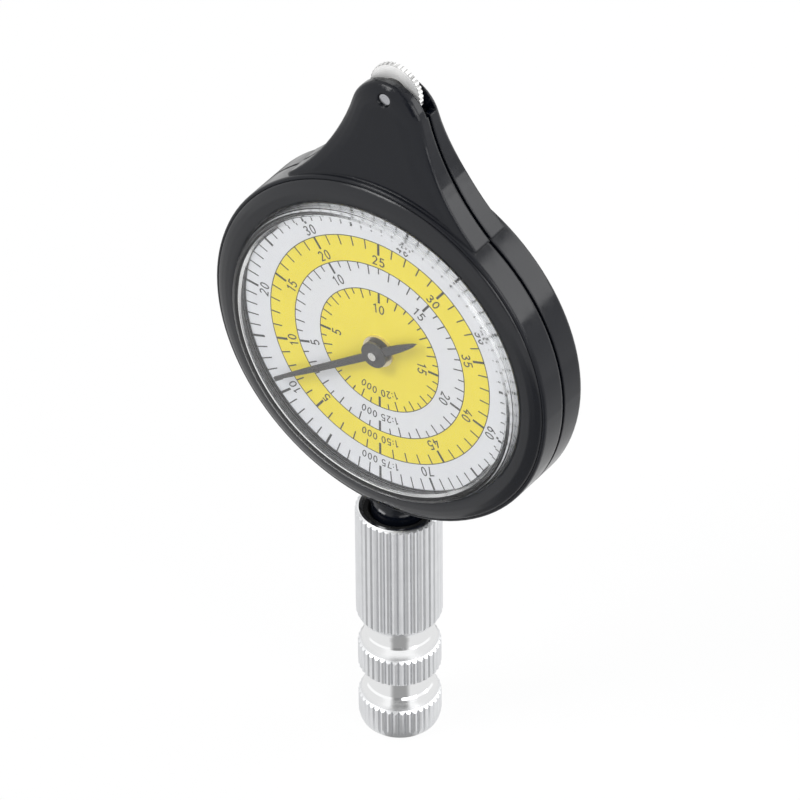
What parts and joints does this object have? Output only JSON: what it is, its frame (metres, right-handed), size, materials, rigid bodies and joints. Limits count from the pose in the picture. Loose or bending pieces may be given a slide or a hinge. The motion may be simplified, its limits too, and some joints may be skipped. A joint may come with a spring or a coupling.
{
  "type": "opisometer",
  "caption": "Map measurer: a serrated wheel in the nose drives a pointer on each dial through a gear train, under clear crystals, on a knurled swivelling handle.",
  "frame": {"origin": "centre of the flat lower end of the handle", "axes": "+X to the right of the front dial, +Y from the front dial to the rear dial, +Z along the handle up to the measuring wheel"},
  "size_m": [0.0512, 0.0126, 0.1066],
  "materials": {
    "case": "moulded, satin gloss",
    "bezel": "moulded, glossy",
    "crystal": "clear moulded acrylic",
    "dial": "printed white with yellow rings",
    "brass": "turned",
    "steel": "ground pin",
    "wheel": "nickel plated",
    "gear": "moulded acetal",
    "pinion": "moulded black acetal",
    "pointer": "black, satin",
    "handle": "turned and knurled, bright",
    "collar": "moulded"
  },
  "bodies": {
    "case": {"front_case": "case", "rear_case": "case", "front_bezel": "bezel", "rear_bezel": "bezel", "front_crystal": "crystal", "rear_crystal": "crystal", "front_dial": "dial", "rear_dial": "dial", "front_bush": "brass", "rear_bush": "brass", "wheel_axle": "steel", "first_gear_axle": "steel", "second_gear_axle": "steel"},
    "wheel": {"measuring_wheel": "wheel", "wheel_pinion": "pinion"},
    "first_gear_pair": {"first_gear": "gear"},
    "second_gear_pair": {"second_gear": "gear"},
    "pointer_spindle": {"spindle": "steel", "spindle_gear": "gear", "front_pointer": "pointer", "rear_pointer": "pointer"},
    "handle": {"handle_tube": "handle", "handle_end": "handle", "handle_collar": "collar"}
  },
  "joints": [
    {"name": "wheel_spin", "type": "hinge", "parent": "case", "child": "wheel", "pos_m": [0, 0, 0.10286], "axis": [0, 1, 0], "continuous": true},
    {"name": "first_gear_spin", "type": "hinge", "parent": "case", "child": "first_gear_pair", "pos_m": [0, 0, 0.09606], "axis": [0, 1, 0], "continuous": true},
    {"name": "second_gear_spin", "type": "hinge", "parent": "case", "child": "second_gear_pair", "pos_m": [0, 0, 0.08593], "axis": [0, 1, 0], "continuous": true},
    {"name": "spindle_spin", "type": "hinge", "parent": "case", "child": "pointer_spindle", "pos_m": [0, 0, 0.0643], "axis": [0, 1, 0], "continuous": true},
    {"name": "handle_swivel", "type": "hinge", "parent": "case", "child": "handle", "pos_m": [0, 0, 0.03], "axis": [0, 0, 1], "continuous": true}
  ],
  "couplings": [
    {"joint": "first_gear_spin", "follows": "wheel_spin", "ratio": -0.41667},
    {"joint": "second_gear_spin", "follows": "wheel_spin", "ratio": 0.11905},
    {"joint": "spindle_spin", "follows": "wheel_spin", "ratio": -0.02381}
  ]
}
